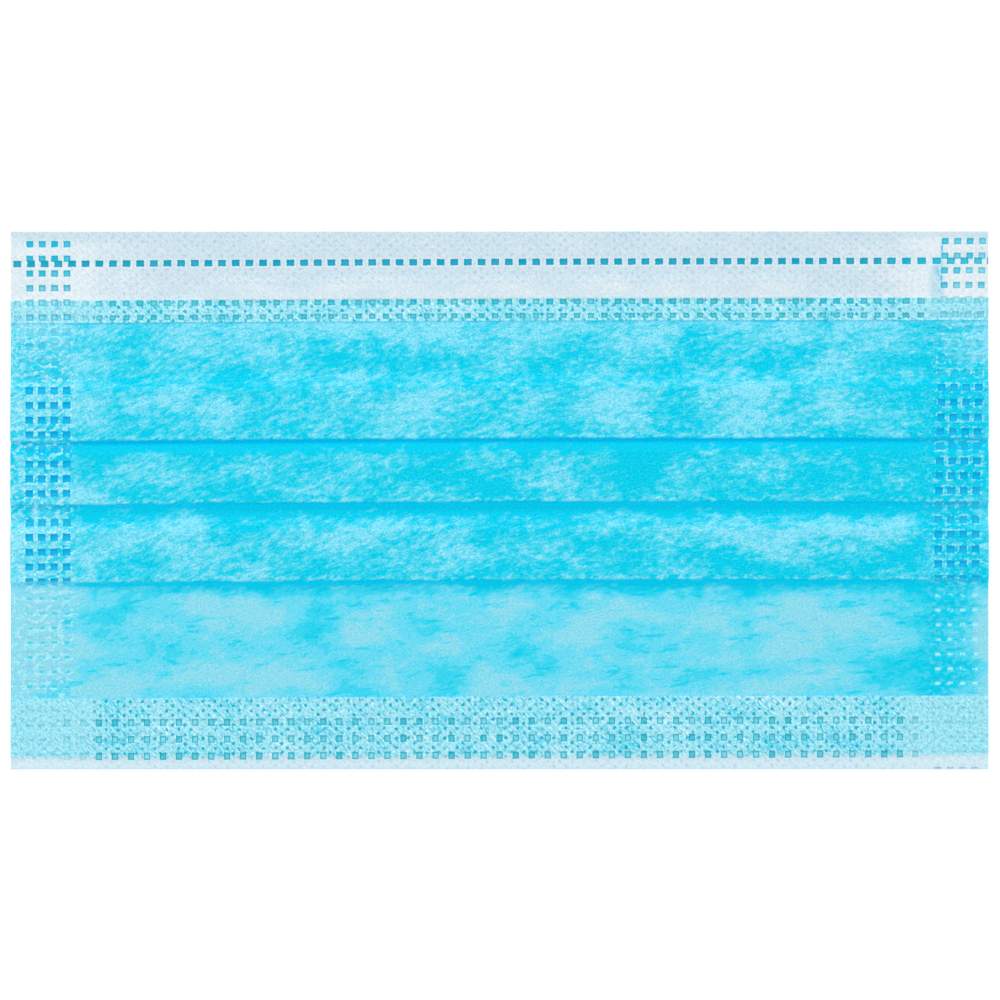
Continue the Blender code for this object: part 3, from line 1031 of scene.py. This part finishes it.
rounding = wire.modifiers.new("Rounded edges", "BEVEL")
rounding.width = 0.08 * MM
rounding.segments = 2
bpy.ops.object.modifier_apply(modifier=rounding.name)
bpy.ops.object.shade_smooth_by_angle(angle=math.radians(40))
print("wire:", [round(1000 * size, 2) for size in wire.dimensions], "mm")

# %% Mix the wire's coat
coat = Finish("milky_wire_coat")
place = coat.node("TexCoord", {}, {}, "Object")
draw_lines = coat.noise(coat.turned(place, 0, (0.02, 1.0, 1.0)), 9000.0, 2.0)
COAT_DULL, COAT_PALE = paint(226, 228, 226), paint(240, 241, 240)
coat_colour = coat.blend(coat.step(draw_lines, 0.3, 0.7), COAT_DULL, COAT_PALE)
coat_bump = coat.node("Bump", {}, {"Strength": 0.2, "Distance": 0.00004, "Height": draw_lines})
coat.put(Base_Color=coat_colour, Roughness=0.38 + 0.14 * draw_lines, Normal=coat_bump)
wire.data.materials.append(coat.material)
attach(wire, "root")
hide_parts("nose_wire")

# %% [markdown]
# ## Putting the finishes on
#
# Every piece gets its material and rides on the CAD model's one body, and the CAD node that it
# stands for is hidden.

# %% Dress the pieces
for sheet, finish, node_name, slot_name, cloth_map in (
    (blue_ply, blue, "outer_layer", "outer_blue", blue_map),
    (back_ply, white, "inner_layer", "inner_white", back_map),
    (top_hem, white, "inner_layer", "inner_white", top_map),
    (bottom_hem, white, "inner_layer", "inner_white", bottom_map),
):
    sheet.data.materials.clear()
    sheet.data.materials.append(finish.material)
    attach(sheet, "root")
    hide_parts(node_name)

# %% [markdown]
# ## The table
#
# A white sheet of paper on a table. It is bright enough to come out as plain white, and it still
# takes a faint shadow.

# %% Lay the table
bpy.ops.object.select_all(action="DESELECT")
bpy.ops.mesh.primitive_plane_add(size=6, location=(0, 0, 0))
table = bpy.context.object
table.name = table.data.name = "table"
bpy.ops.object.transform_apply(location=True, rotation=True, scale=True)
paper = Finish("white_paper")
grain = paper.noise(paper.node("TexCoord", {}, {}, "Object"), 900.0, 2.0)
paper_colour = paper.blend(grain, paint(246, 246, 246), paint(250, 250, 250))
paper.put(Base_Color=paper_colour, Roughness=0.9, Specular_IOR_Level=0.1)
paper.put(Emission_Color=(1, 1, 1, 1), Emission_Strength=0.34)
table.data.materials.append(paper.material)

# %% [markdown]
# ## Light and camera
#
# The photograph was taken under even light, with only a soft shadow under each pleat's edge. So the
# sky is plain white, and one large lamp stands beyond the nose edge. The camera looks straight down
# from a metre away, so that the edges stay straight, and takes in 178.94 mm.

# %% Light and camera
world = bpy.data.worlds.new("even_sky")
bpy.context.scene.world = world
world.use_nodes = True
world.node_tree.nodes["Background"].inputs["Color"].default_value = (1, 1, 1, 1)
world.node_tree.nodes["Background"].inputs["Strength"].default_value = 0.62

bpy.ops.object.light_add(type="AREA", location=(-0.15, 0.9, 0.8))
lamp = bpy.context.object
lamp.name = "soft_lamp"
lamp.data.shape = "SQUARE"
lamp.data.size = 0.6
lamp.data.energy = 4.0
lamp.rotation_euler = (math.radians(-48), 0, math.radians(-9))

VIEW_WIDTH = 0.17894
LENS, SENSOR = 200.0, 36.0
OUTLINE_LEVEL = 0.0008
OFF_CENTRE = 0.00009, 0.00004
camera_height = OUTLINE_LEVEL + VIEW_WIDTH * LENS / SENSOR
bpy.ops.object.camera_add(location=(*OFF_CENTRE, camera_height), rotation=(0, 0, 0))
camera = bpy.context.object
camera.name = "overhead_camera"
camera.data.lens = LENS
camera.data.sensor_width = SENSOR
bpy.context.scene.camera = camera
bpy.context.scene.view_settings.view_transform = "Standard"
